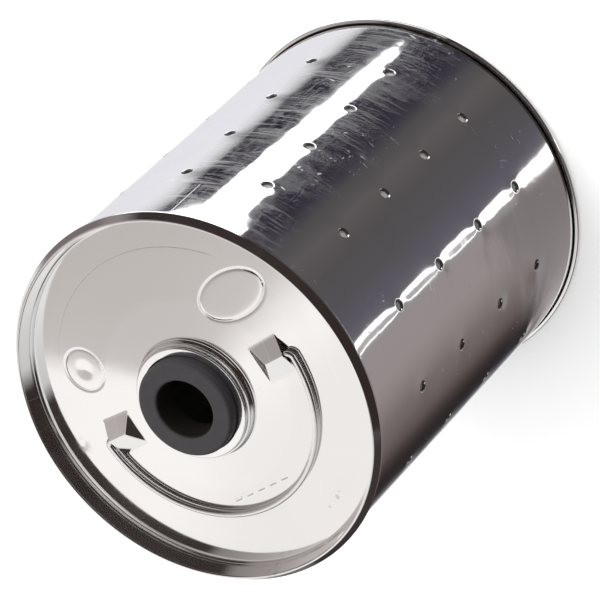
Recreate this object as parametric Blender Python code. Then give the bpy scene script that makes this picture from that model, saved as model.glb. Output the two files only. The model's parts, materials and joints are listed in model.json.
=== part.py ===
"""Drop-in fine-filter cartridge with a folding wire bail.

Dimensions are in millimetres; finished objects are in metres, +Z up.  The can
is centred on Z and stands on the flat crest of its base rim at z = 0.  The
folding bail and the turned-up neck with its rubber grommet are at the top.
The bail pivot axis is parallel to X; at rest the bail lies flat on the -Y half
of the handle-end panel.
"""
import math

import bmesh
import bpy
import numpy as np
from mathutils import Vector

MM = 0.001
TAU = 2.0 * math.pi

# ------------------------------------------------------------ main dimensions
CAN_R = 47.2                    # jacket outer radius
SHEET = 0.30                    # tinplate thickness
CREST = 1.20                    # height of each rim crest over its bead mid-plane
BEAD_BASE = CREST               # base bead mid-plane
BEAD_TOP = 112.00               # handle-end bead mid-plane
CAN_TOP = BEAD_TOP + CREST
CAN_SIDES = 42                  # facets of the large sheet pieces
DISC_SIDES = 28                 # facets of grommets, cups and end discs
TUBE_SIDES = 24                 # facets of the centre tube and its gauze

# ------------------------------------------------------------ end-cap outlines
# Columns: radius, height over the bead mid-plane, positive out of the can.
# Visible side: panel, foot of the wall, stepped wall, crest, round the bead.
SHELL_OUT = [
    (25.0, -1.65), (37.8, -2.74), (44.70, -3.33), (45.05, -3.05),
    (45.25, -2.55), (45.60, -2.15), (46.05, 0.70), (46.45, CREST),
    (46.85, CREST), (47.67, 0.57), (48.25, -0.25), (48.05, -0.94),
    (47.50, -0.94),
]
# Hidden side, from the bead back to the panel.
SHELL_IN = [
    (47.50, -0.64), (47.80, -0.64), (47.92, -0.25), (47.45, 0.35),
    (46.75, 0.90), (46.40, 0.60), (45.92, -2.30), (45.56, -2.72),
    (45.34, -3.28), (44.78, -3.64), (37.8, -3.05), (25.0, -1.95),
]
# Necks round the grommets: drawn out of the can at the handle end and into
# it at the base, so that the can stands on its rim.
LIP_R = 12.6
HANDLE_NECK_OUT = [
    (LIP_R, 2.10), (14.20, 2.10), (14.55, 1.60), (14.65, 0.70),
    (15.05, 0.40), (15.20, -0.75), (15.80, -1.15),
]
HANDLE_NECK_IN = [
    (15.60, -1.45), (14.88, -0.70), (14.32, 0.50), (14.10, 1.80),
    (LIP_R, 1.80),
]
BASE_NECK_OUT = [(LIP_R, -2.50), (13.9, -2.50), (14.35, -2.30), (15.3, -1.20)]
BASE_NECK_IN = [(14.9, -1.55), (14.1, -2.55), (13.8, -2.80), (LIP_R, -2.80)]

# Section of the compound under each rim crest, same columns.
SEAM_COMPOUND = [(46.65, 0.25), (46.95, 0.25), (46.86, 0.52), (46.65, 0.56)]

# ---------------------------------------------------- grommets, cups and tube
HANDLE_GROMMET_FACE = BEAD_TOP + 5.2
BASE_GROMMET_FACE = 0.6
BORE_R = 7.3
PLUG_R = 12.3
PLUG_LEN = 3.75
FLANGE_R = 13.7
FLANGE_T = 3.5
GROMMET_LEN = PLUG_LEN + FLANGE_T
HANDLE_CUP_SEAT = HANDLE_GROMMET_FACE - GROMMET_LEN
BASE_CUP_SEAT = BASE_GROMMET_FACE + GROMMET_LEN

# Columns: radius, height over the grommet's inner end, positive out of the can.
CUP_SECTION = [
    (8.7, -0.38), (13.3, -0.38), (13.3, -0.80), (12.75, -0.80),
    (12.55, -0.95), (12.55, -4.6), (12.15, -4.6), (12.15, -0.80),
    (8.7, -0.80),
]

TUBE_R = 11.7
TUBE_T = 0.5
TUBE_GAP = 1.15                 # from each cup seat to the tube end

# ------------------------------------------------------------------ utilities


def axes(angle):
    """Horizontal radial and tangential unit vectors at an angle."""
    c, s = math.cos(angle), math.sin(angle)
    return Vector((c, s, 0.0)), Vector((-s, c, 0.0))


def ellipse(half_x, half_y, sides):
    """Points round an ellipse, starting half a side past the first axis."""
    turns = [TAU * (k + 0.5) / sides for k in range(sides)]
    return [(half_x * math.cos(t), half_y * math.sin(t)) for t in turns]


def place(profile, z, direction):
    """Set a (radius, height) profile at z, heights counted along direction."""
    return [(r, z + direction * h) for r, h in profile]


def rect_section(r_in, r_out, z_low, z_high):
    return [(r_out, z_low), (r_out, z_high), (r_in, z_high), (r_in, z_low)]


def close_ring(bm, sections):
    """Join closed sections in order, the last one back to the first."""
    rings = [[bm.verts.new(p) for p in section] for section in sections]
    for k, ring in enumerate(rings):
        following = rings[(k + 1) % len(rings)]
        for i in range(len(ring)):
            j = (i + 1) % len(ring)
            bm.faces.new((ring[i], following[i], following[j], ring[j]))


def loft(bm, sections):
    """Join closed sections in order and cap both ends."""
    rings = [[bm.verts.new(p) for p in section] for section in sections]
    bm.faces.new(rings[0][::-1])
    for ring, following in zip(rings, rings[1:]):
        for i in range(len(ring)):
            j = (i + 1) % len(ring)
            bm.faces.new((ring[i], ring[j], following[j], following[i]))
    bm.faces.new(rings[-1])


def finish(bm, name, mat, sharp=None, origin=(0.0, 0.0, 0.0)):
    """Make an object in metres; sharp is the smoothing limit in degrees, None is flat."""
    offset = Vector(origin)
    for v in bm.verts:
        v.co = (v.co - offset) * MM
    bmesh.ops.recalc_face_normals(bm, faces=bm.faces[:])
    mesh = bpy.data.meshes.new(name)
    bm.to_mesh(mesh)
    bm.free()
    if mat is not None:
        mesh.materials.append(mat)
    if sharp is not None:
        mesh.shade_smooth()
        mesh.set_sharp_from_angle(angle=math.radians(sharp))
    obj = bpy.data.objects.new(name, mesh)
    obj.location = offset * MM
    bpy.context.scene.collection.objects.link(obj)
    return obj


def ring_part(name, profile, sides, mat, phase=0.0, sharp=32.0):
    """Closed (radius, z) profile turned about Z; phase is counted in facets."""
    bm = bmesh.new()
    sections = []
    for k in range(sides):
        angle = TAU * (k + phase) / sides
        c, s = math.cos(angle), math.sin(angle)
        sections.append([(r * c, r * s, z) for r, z in profile])
    close_ring(bm, sections)
    return finish(bm, name, mat, sharp)


def apply_cutter(target, bm, name, operation):
    """Finish bm as a hidden tool and add it to target as a boolean modifier."""
    tool = finish(bm, name, None)
    tool.hide_render = True
    tool.display_type = 'WIRE'
    modifier = target.modifiers.new(operation.lower() + "_" + name, 'BOOLEAN')
    modifier.operation = operation
    modifier.solver = 'EXACT'
    modifier.object = tool


def add_radial_punch(bm, angle, z, half_width, half_height, r_in, r_out):
    """Six-sided punch along a radius, for holes in a tube wall."""
    radial, tangent = axes(angle)
    outline = [tangent * u + Vector((0.0, 0.0, z + v))
               for u, v in ellipse(half_width, half_height, 6)]
    loft(bm, [[p + radial * r for p in outline] for r in (r_in, r_out)])


def material(name, color, roughness, metallic=0.0):
    mat = bpy.data.materials.new(name)
    mat.use_nodes = True
    shader = mat.node_tree.nodes["Principled BSDF"]
    shader.inputs["Base Color"].default_value = (*color, 1.0)
    shader.inputs["Roughness"].default_value = roughness
    shader.inputs["Metallic"].default_value = metallic
    mat.diffuse_color = (*color, 1.0)
    return mat


def metal(name, color, roughness):
    return material(name, color, roughness, metallic=1.0)


# ------------------------------------------------------------ handle-end cap
# Columns as in the end-cap outlines: the visible cone between neck and wall.
PANEL_LINE = HANDLE_NECK_OUT[-1:] + SHELL_OUT[:3]

# Pressed pockets that hold the wire ends, for the one on +X.
POCKET_IN, POCKET_OUT = 20.8, 29.4          # radial extent
POCKET_W_IN, POCKET_W_OUT = 4.40, 4.70      # half-widths at those ends
RIDGE_IN, RIDGE_OUT = 23.9, 29.0
RIDGE_TOP_IN = BEAD_TOP + 0.52
RIDGE_TOP_OUT = BEAD_TOP + 0.62
FOOT_SINK = 0.16                            # foot of the pocket inside the sheet

# Hollow under each pocket, as insets from the pocket's outside.
HOLLOW_INSET_IN = 1.02
HOLLOW_W_INSET_IN, HOLLOW_W_INSET_OUT = 0.86, 0.74
HOLLOW_RIDGE_INSET = 0.36
HOLLOW_RIDGE_DROP = 0.34
HOLLOW_EAVES_DEPTH = 0.02                   # below the panel surface
HOLLOW_FLOOR_DEPTH = 1.6                    # below the panel, clear of the sheet

# Shallow stampings in the panel.
STAMP_DEPTH = 0.13
STAMP_CLEAR = 0.5                           # cutter height above the panel
STAMP_LINE = 0.7                            # line width of the rings
BAR_COUNT = 5
BAR_PITCH = 3.8
BAR_Y = -26.4


def on_panel(x, y, lift):
    """Point at a lift above the visible panel surface."""
    radii, heights = zip(*PANEL_LINE)
    return x, y, BEAD_TOP + np.interp(math.hypot(x, y), radii, heights) + lift


def pocket_verts(bm, sign, points):
    """Vertices for the +X pocket, or turned half a turn when sign is -1."""
    return [bm.verts.new((sign * x, sign * y, z)) for x, y, z in points]


def pocket_corners(x_in, x_out, half_in, half_out, lift):
    corners = ((x_in, -half_in), (x_out, -half_out), (x_out, half_out), (x_in, half_in))
    return [on_panel(x, y, lift) for x, y in corners]


def add_roof(bm, eaves, ridge):
    """Inner hip and both long slopes; the outer end stays open."""
    bm.faces.new((eaves[0], eaves[3], ridge[0]))
    bm.faces.new((eaves[0], eaves[1], ridge[1], ridge[0]))
    bm.faces.new((eaves[2], eaves[3], ridge[0], ridge[1]))


def pocket_shells():
    bm = bmesh.new()
    for sign in (1.0, -1.0):
        foot = pocket_verts(bm, sign, pocket_corners(
            POCKET_IN, POCKET_OUT, POCKET_W_IN, POCKET_W_OUT, -FOOT_SINK))
        ridge = pocket_verts(bm, sign, [
            (RIDGE_IN, 0.0, RIDGE_TOP_IN), (RIDGE_OUT, 0.0, RIDGE_TOP_OUT)])
        bm.faces.new(foot)
        add_roof(bm, foot, ridge)
        bm.faces.new((foot[1], foot[2], ridge[1]))
    return bm


def pocket_hollows():
    """Hollows that open the pockets at their outer ends and through the panel."""
    bm = bmesh.new()
    extent = (POCKET_IN + HOLLOW_INSET_IN, POCKET_OUT,
              POCKET_W_IN - HOLLOW_W_INSET_IN, POCKET_W_OUT - HOLLOW_W_INSET_OUT)
    for sign in (1.0, -1.0):
        eaves = pocket_verts(bm, sign, pocket_corners(*extent, -HOLLOW_EAVES_DEPTH))
        floor = pocket_verts(bm, sign, pocket_corners(*extent, -HOLLOW_FLOOR_DEPTH))
        ridge = pocket_verts(bm, sign, [
            (RIDGE_IN + HOLLOW_RIDGE_INSET, 0.0, RIDGE_TOP_IN - HOLLOW_RIDGE_DROP),
            (POCKET_OUT, 0.0, RIDGE_TOP_OUT - HOLLOW_RIDGE_DROP)])
        bm.faces.new(floor)
        for i in (0, 2, 3):
            j = (i + 1) % 4
            bm.faces.new((floor[i], floor[j], eaves[j], eaves[i]))
        # The outer end wall runs up to the ridge.
        bm.faces.new((floor[1], floor[2], eaves[2], ridge[1], eaves[1]))
        add_roof(bm, eaves, ridge)
    return bm


def add_stamp(bm, x, y, half_x, half_y, sides, line=None):
    """Elliptic cutter that follows the coned panel; line makes it a ring."""

    def loop(inset, lift):
        return [on_panel(x + u, y + v, lift)
                for u, v in ellipse(half_x - inset, half_y - inset, sides)]

    top, floor = loop(0.0, STAMP_CLEAR), loop(0.0, -STAMP_DEPTH)
    if line is None:
        loft(bm, [floor, top])
    else:
        inner_top, inner_floor = loop(line, STAMP_CLEAR), loop(line, -STAMP_DEPTH)
        close_ring(bm, list(zip(top, inner_top, inner_floor, floor)))


def stampings():
    """An oval ring, a rounder ring round a small oval, and a row of bars."""
    bm = bmesh.new()
    centre = axes(math.radians(35.0))[0] * 30.5
    add_stamp(bm, centre.x, centre.y, 8.6, 5.4, sides=20, line=STAMP_LINE)
    centre = axes(math.radians(145.0))[0] * 30.7
    add_stamp(bm, centre.x, centre.y, 5.6, 5.0, sides=16, line=STAMP_LINE)
    add_stamp(bm, centre.x, centre.y - 0.4, 1.5, 2.1, sides=8)
    for i in range(BAR_COUNT):
        x = BAR_PITCH * (i - (BAR_COUNT - 1) / 2)
        add_stamp(bm, x, BAR_Y, 1.1, 0.42, sides=4)
    return bm


def make_handle_cap(mat):
    outline = HANDLE_NECK_OUT + SHELL_OUT + SHELL_IN + HANDLE_NECK_IN
    cap = ring_part("handle_end_cap", place(outline, BEAD_TOP, 1), CAN_SIDES, mat,
                    phase=0.5, sharp=30.0)
    apply_cutter(cap, pocket_shells(), "tool_pocket_shell", 'UNION')
    apply_cutter(cap, pocket_hollows(), "tool_pocket_hollow", 'DIFFERENCE')
    apply_cutter(cap, stampings(), "tool_stampings", 'DIFFERENCE')


def make_base_cap(mat):
    outline = BASE_NECK_OUT + SHELL_OUT + SHELL_IN + BASE_NECK_IN
    ring_part("base_end_cap", place(outline, BEAD_BASE, -1), CAN_SIDES, mat,
              phase=0.5, sharp=30.0)


# --------------------------------------------------------------------- jacket
HOLE_COLUMNS = 14
FIRST_COLUMN_DEG = 17.8
HOLE_Z = (24.7, 45.8, 67.0, 88.2)
HOLE_R = 1.15
LIP_OUT, LIP_ROOT = 47.58, 47.55            # radii of the turned-out end lips


def make_jacket(mat):
    """Perforated jacket, its facets centred on the hole columns."""
    inner_r = CAN_R - SHEET
    profile = [
        (CAN_R, BEAD_BASE + 0.34), (CAN_R, BEAD_TOP - 0.34),
        (LIP_OUT, BEAD_TOP - 0.30), (LIP_ROOT, BEAD_TOP - 0.06),
        (inner_r, BEAD_TOP - 0.06), (inner_r, BEAD_BASE + 0.06),
        (LIP_ROOT, BEAD_BASE + 0.06), (LIP_OUT, BEAD_BASE + 0.30),
    ]
    jacket = ring_part("outer_jacket", profile, CAN_SIDES, mat,
                       phase=0.5 + FIRST_COLUMN_DEG / 360.0 * CAN_SIDES, sharp=30.0)
    bm = bmesh.new()
    for k in range(HOLE_COLUMNS):
        angle = math.radians(FIRST_COLUMN_DEG) + TAU * k / HOLE_COLUMNS
        for z in HOLE_Z:
            add_radial_punch(bm, angle, z, HOLE_R, HOLE_R, CAN_R - 2.0, CAN_R + 1.0)
    apply_cutter(jacket, bm, "tool_jacket_holes", 'DIFFERENCE')


# ------------------------------------------------------ grommets, cups, tube


def make_grommet(name, face, outward, mat):
    """Bored rubber plug with an inner holding flange; face is the free end."""
    # Columns: radius, depth into the can from the face.
    profile = [
        (BORE_R + 0.7, 0.0), (PLUG_R - 1.0, 0.0), (PLUG_R - 0.25, 0.32),
        (PLUG_R, 1.0), (PLUG_R, PLUG_LEN), (FLANGE_R - 0.3, PLUG_LEN),
        (FLANGE_R, PLUG_LEN + 0.4), (FLANGE_R, GROMMET_LEN - 0.6),
        (FLANGE_R - 0.6, GROMMET_LEN), (BORE_R + 0.6, GROMMET_LEN),
        (BORE_R, GROMMET_LEN - 0.6), (BORE_R, 0.7),
    ]
    ring_part(name, place(profile, face, -outward), DISC_SIDES, mat, sharp=40.0)


def make_cup(name, seat, outward, mat):
    """Pressed ring behind a grommet with a skirt around the tube end."""
    ring_part(name, place(CUP_SECTION, seat, outward), DISC_SIDES, mat)


SLOT_LEVELS = 4
SLOTS_PER_LEVEL = 8
SLOT_END_GAP = 25.0                         # from each can end to the nearest slots
SLOT_HALF_W, SLOT_HALF_H = 1.15, 2.6


def make_tube(mat):
    """Slotted tube; each level of slots is one facet off the next."""
    section = rect_section(TUBE_R - TUBE_T, TUBE_R,
                           BASE_CUP_SEAT + TUBE_GAP, HANDLE_CUP_SEAT - TUBE_GAP)
    tube = ring_part("centre_tube", section, TUBE_SIDES, mat)
    pitch = (CAN_TOP - 2 * SLOT_END_GAP) / (SLOT_LEVELS - 1)
    bm = bmesh.new()
    for level in range(SLOT_LEVELS):
        for k in range(SLOTS_PER_LEVEL):
            facet = k * TUBE_SIDES // SLOTS_PER_LEVEL + level % 2
            add_radial_punch(bm, TAU * (facet + 0.5) / TUBE_SIDES,
                             SLOT_END_GAP + level * pitch, SLOT_HALF_W, SLOT_HALF_H,
                             TUBE_R - 1.6, TUBE_R + 0.6)
    apply_cutter(tube, bm, "tool_tube_slots", 'DIFFERENCE')


# ---------------------------------------------------------------- filter pack
PLEATS = 30
PLEAT_OUT, PLEAT_IN = 41.0, 14.3            # radii over the folds
PAPER = 0.5
FOLD_HALF_OUT, FOLD_HALF_IN = 0.80, 0.50    # half-widths of the folds
CLIP_FOLD_DROP = 0.85                       # the fold under the clip lies deeper
MITRE_FLOOR = 0.35                          # limits the offset at tight corners
PACK_INSET = 8.4                            # from each can end
PACK_Z0, PACK_Z1 = PACK_INSET, CAN_TOP - PACK_INSET

# U section of the clip on the +X fold, open towards the axis; columns x, y.
CLIP_SECTION = [
    (36.4, -1.75), (41.12, -1.75), (41.12, 1.75), (36.4, 1.75),
    (36.4, 1.42), (40.80, 1.42), (40.80, -1.42), (36.4, -1.42),
]
CLIP_INSET = 1.5                            # from each pack end

CORD_R = 0.42
CORD_HELIX_R = 42.52
CORD_TURNS = 4
CORD_STEPS = 18                             # per turn
CORD_SIDES = 4
CORD_INSET = 18.0                           # from each can end

GAUZE_R_IN, GAUZE_R_OUT, GAUZE_INSET = 12.15, 12.45, 16.0
FELT_R_IN, FELT_R_OUT, FELT_INSET = 43.45, 46.35, 9.1

# End disc sections, heights from the nearer can end.
POTTING = rect_section(14.0, 41.3, 7.2, 8.0)
CARD = rect_section(14.1, 41.5, 6.0, 6.8)


def pleat_line():
    """Centre line of the folded paper as a closed loop of points."""
    points = []
    for k in range(PLEATS):
        outer_r = PLEAT_OUT - PAPER / 2 - (CLIP_FOLD_DROP if k == 0 else 0.0)
        folds = ((k, outer_r, FOLD_HALF_OUT),
                 (k + 0.5, PLEAT_IN + PAPER / 2, FOLD_HALF_IN))
        for step, radius, half in folds:
            radial, tangent = axes(TAU * step / PLEATS)
            points.append(radial * radius - tangent * half)
            points.append(radial * radius + tangent * half)
    return points


def offset_loop(points, distance):
    """Closed horizontal loop moved sideways, with mitred corners."""
    moved = []
    for i, point in enumerate(points):
        before = (point - points[i - 1]).normalized()
        after = (points[(i + 1) % len(points)] - point).normalized()
        normal_before = Vector((before.y, -before.x, 0.0))
        normal_after = Vector((after.y, -after.x, 0.0))
        mitre = (normal_before + normal_after).normalized()
        scale = max(MITRE_FLOOR, mitre.dot(normal_before))
        moved.append(point + mitre * (distance / scale))
    return moved


def make_paper(mat):
    line = pleat_line()
    sides = zip(offset_loop(line, PAPER / 2), offset_loop(line, -PAPER / 2))
    bm = bmesh.new()
    close_ring(bm, [((p.x, p.y, PACK_Z0), (p.x, p.y, PACK_Z1),
                     (q.x, q.y, PACK_Z1), (q.x, q.y, PACK_Z0)) for p, q in sides])
    finish(bm, "pleated_paper_pack", mat)


def make_clip(mat):
    """Clip folded over the fold where the two ends of the paper meet."""
    bm = bmesh.new()
    loft(bm, [[(x, y, z) for x, y in CLIP_SECTION]
              for z in (PACK_Z0 + CLIP_INSET, PACK_Z1 - CLIP_INSET)])
    finish(bm, "pleat_clip", mat, sharp=None)


def make_cord(mat):
    """Cord wound round the pleats."""
    total = CORD_TURNS * CORD_STEPS
    rise = CAN_TOP - 2 * CORD_INSET
    sections = []
    for i in range(total + 1):
        radial, _ = axes(TAU * i / CORD_STEPS)
        z = CORD_INSET + rise * i / total
        section = []
        for k in range(CORD_SIDES):
            t = TAU * k / CORD_SIDES
            section.append(radial * (CORD_HELIX_R + CORD_R * math.cos(t))
                           + Vector((0.0, 0.0, z + CORD_R * math.sin(t))))
        sections.append(section)
    bm = bmesh.new()
    loft(bm, sections)
    finish(bm, "pack_cord", mat, sharp=32.0)


def make_sleeve(name, r_in, r_out, inset, sides, mat, phase=0.0):
    """Plain tube that stops at an inset from each can end."""
    section = rect_section(r_in, r_out, inset, CAN_TOP - inset)
    ring_part(name, section, sides, mat, phase=phase)


# ---------------------------------------------------------------- bail handle
WIRE_R = 0.825
WIRE_SIDES = 8
BAIL_R = 30.9
PIVOT_Z = BEAD_TOP - 1.05
STUB_IN = 25.4                  # distance of each wire end from the YZ plane
BEND_R = 1.6
BEND_STEPS = 4
ARC_STEPS = 34
ARC_START = math.asin((BEND_R + 0.1) / BAIL_R)


def bail_path():
    """Wire centre line in XY: half circle, both ends turned in to the pivot axis."""
    bend_x = BAIL_R - BEND_R
    end = [Vector((STUB_IN, 0.0)), Vector((bend_x, 0.0))]
    for i in range(1, BEND_STEPS):
        t = math.radians(90.0 * i / BEND_STEPS)
        end.append(Vector((bend_x + BEND_R * math.sin(t), -BEND_R + BEND_R * math.cos(t))))
    arc = []
    for i in range(ARC_STEPS + 1):
        t = ARC_START + (math.pi - 2 * ARC_START) * i / ARC_STEPS
        arc.append(Vector((BAIL_R * math.cos(t), -BAIL_R * math.sin(t))))
    return end + arc + [Vector((-p.x, p.y)) for p in reversed(end)]


def make_bail(mat):
    path = bail_path()
    sections = []
    for i, point in enumerate(path):
        along = (path[min(len(path) - 1, i + 1)] - path[max(0, i - 1)]).normalized()
        normal = Vector((-along.y, along.x))
        sections.append([(point.x + normal.x * u, point.y + normal.y * u, PIVOT_Z + v)
                         for u, v in ellipse(WIRE_R, WIRE_R, WIRE_SIDES)])
    bm = bmesh.new()
    loft(bm, sections)
    finish(bm, "bail_handle", mat, sharp=50.0, origin=(0.0, 0.0, PIVOT_Z))


# ---------------------------------------------------------------------- build
for existing in list(bpy.data.objects):
    bpy.data.objects.remove(existing, do_unlink=True)

make_handle_cap(metal("tinplate_handle_cap", color=(0.66, 0.66, 0.67), roughness=0.14))
make_base_cap(metal("tinplate_base_cap", color=(0.64, 0.64, 0.65), roughness=0.17))
make_jacket(metal("tinplate_jacket", color=(0.62, 0.62, 0.64), roughness=0.16))

ring_part("handle_end_seam_compound", place(SEAM_COMPOUND, BEAD_TOP, 1), CAN_SIDES,
          material("compound_handle", color=(0.09, 0.09, 0.085), roughness=0.70),
          phase=0.5)
ring_part("base_end_seam_compound", place(SEAM_COMPOUND, BEAD_BASE, -1), CAN_SIDES,
          material("compound_base", color=(0.085, 0.085, 0.08), roughness=0.72),
          phase=0.5)

make_grommet("handle_end_grommet", HANDLE_GROMMET_FACE, 1, material(
    "rubber_handle_grommet", color=(0.055, 0.052, 0.056), roughness=0.55))
make_grommet("base_end_grommet", BASE_GROMMET_FACE, -1, material(
    "rubber_base_grommet", color=(0.050, 0.048, 0.052), roughness=0.58))
make_cup("handle_end_grommet_cup", HANDLE_CUP_SEAT, 1, metal(
    "steel_handle_cup", color=(0.48, 0.48, 0.50), roughness=0.32))
make_cup("base_end_grommet_cup", BASE_CUP_SEAT, -1, metal(
    "steel_base_cup", color=(0.47, 0.47, 0.49), roughness=0.34))
make_tube(metal("steel_centre_tube", color=(0.45, 0.46, 0.48), roughness=0.35))

make_sleeve("centre_tube_gauze", GAUZE_R_IN, GAUZE_R_OUT, GAUZE_INSET, TUBE_SIDES,
            metal("brass_gauze", color=(0.60, 0.44, 0.18), roughness=0.40))
make_paper(material("resin_paper", color=(0.62, 0.44, 0.19), roughness=0.85))
make_clip(metal("aluminium_clip", color=(0.70, 0.71, 0.72), roughness=0.35))
make_cord(material("cotton_cord", color=(0.72, 0.68, 0.58), roughness=0.92))
make_sleeve("prefilter_felt", FELT_R_IN, FELT_R_OUT, FELT_INSET, CAN_SIDES,
            material("wool_felt", color=(0.56, 0.53, 0.47), roughness=0.97), phase=0.5)

ring_part("base_end_potting", POTTING, DISC_SIDES,
          material("adhesive_base", color=(0.19, 0.065, 0.028), roughness=0.52))
ring_part("base_end_card_disc", CARD, DISC_SIDES,
          material("card_base_disc", color=(0.43, 0.32, 0.20), roughness=0.90))
ring_part("handle_end_potting", place(POTTING, CAN_TOP, -1), DISC_SIDES,
          material("adhesive_handle", color=(0.20, 0.07, 0.03), roughness=0.50))
ring_part("handle_end_card_disc", place(CARD, CAN_TOP, -1), DISC_SIDES,
          material("card_handle_disc", color=(0.44, 0.33, 0.21), roughness=0.88))

make_bail(metal("galvanised_wire", color=(0.55, 0.55, 0.57), roughness=0.25))
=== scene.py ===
"""Drop-in filter cartridge: fine surface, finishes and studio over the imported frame.

The can stands upright on the Z axis, base end down and handle end up, with a
wire bail folded flat over the handle end. Shapes are worked out in millimetres
and stored in metres; the studio and camera are in metres.
"""
import json
import math

import bpy
import numpy as np
from mathutils import Matrix, Vector


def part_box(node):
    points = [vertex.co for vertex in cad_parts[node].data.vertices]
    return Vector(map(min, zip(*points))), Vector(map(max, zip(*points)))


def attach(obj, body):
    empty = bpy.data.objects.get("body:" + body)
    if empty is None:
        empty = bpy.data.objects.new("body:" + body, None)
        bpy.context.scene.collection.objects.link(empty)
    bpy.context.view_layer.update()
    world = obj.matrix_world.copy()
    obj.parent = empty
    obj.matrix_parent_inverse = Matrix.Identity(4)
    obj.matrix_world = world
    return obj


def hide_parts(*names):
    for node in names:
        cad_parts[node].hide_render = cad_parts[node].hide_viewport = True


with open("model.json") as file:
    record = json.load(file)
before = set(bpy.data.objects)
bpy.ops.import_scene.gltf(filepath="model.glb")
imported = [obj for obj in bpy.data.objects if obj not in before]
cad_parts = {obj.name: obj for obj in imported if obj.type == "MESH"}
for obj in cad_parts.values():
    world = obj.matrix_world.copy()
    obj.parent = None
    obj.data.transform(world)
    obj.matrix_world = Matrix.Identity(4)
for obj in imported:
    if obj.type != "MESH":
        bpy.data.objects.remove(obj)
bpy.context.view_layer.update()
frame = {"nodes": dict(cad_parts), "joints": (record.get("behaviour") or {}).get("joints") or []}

MM = 0.001                                # metres in a millimetre
PI = math.pi
TAU = 2.0 * PI
DEG = 180.0 / PI                          # degrees in a radian

# ---------------------------------------------------------- driving sizes, mm
_jacket_lo, _jacket_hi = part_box("outer_jacket")
BEAD_INSET = 0.06                         # bead mid-plane beyond the jacket end
BEAD_BASE = _jacket_lo.z / MM - BEAD_INSET
BEAD_TOP = _jacket_hi.z / MM + BEAD_INSET
FACE_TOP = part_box("handle_end_grommet")[1].z / MM
FACE_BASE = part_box("base_end_grommet")[0].z / MM
CAN_R = 47.2

# The joint may come without a position; the number is the bail's pivot height.
_joint = frame["joints"][0]
PIVOT_Z = _joint["pos_m"][2] / MM if "pos_m" in _joint else 110.95

HOLE_ROWS = 14                            # columns of holes round the can
HOLE_AZ0 = 17.8                           # azimuth of the first column, degrees
HOLE_Z = (24.7, 45.8, 67.0, 88.2)
HOLE_EDGE = 1.14                          # hole radius


# ===================================================== shader node expressions
class Signal:
    """A shader socket that takes + - * like a number, each adding a math node."""

    def __init__(self, nodes, socket):
        self.nodes = nodes
        self.socket = socket

    def __add__(self, other):
        return self.nodes.math("ADD", self, other)

    def __radd__(self, other):
        return self.nodes.math("ADD", other, self)

    def __sub__(self, other):
        return self.nodes.math("SUBTRACT", self, other)

    def __rsub__(self, other):
        return self.nodes.math("SUBTRACT", other, self)

    def __mul__(self, other):
        return self.nodes.math("MULTIPLY", self, other)


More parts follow.
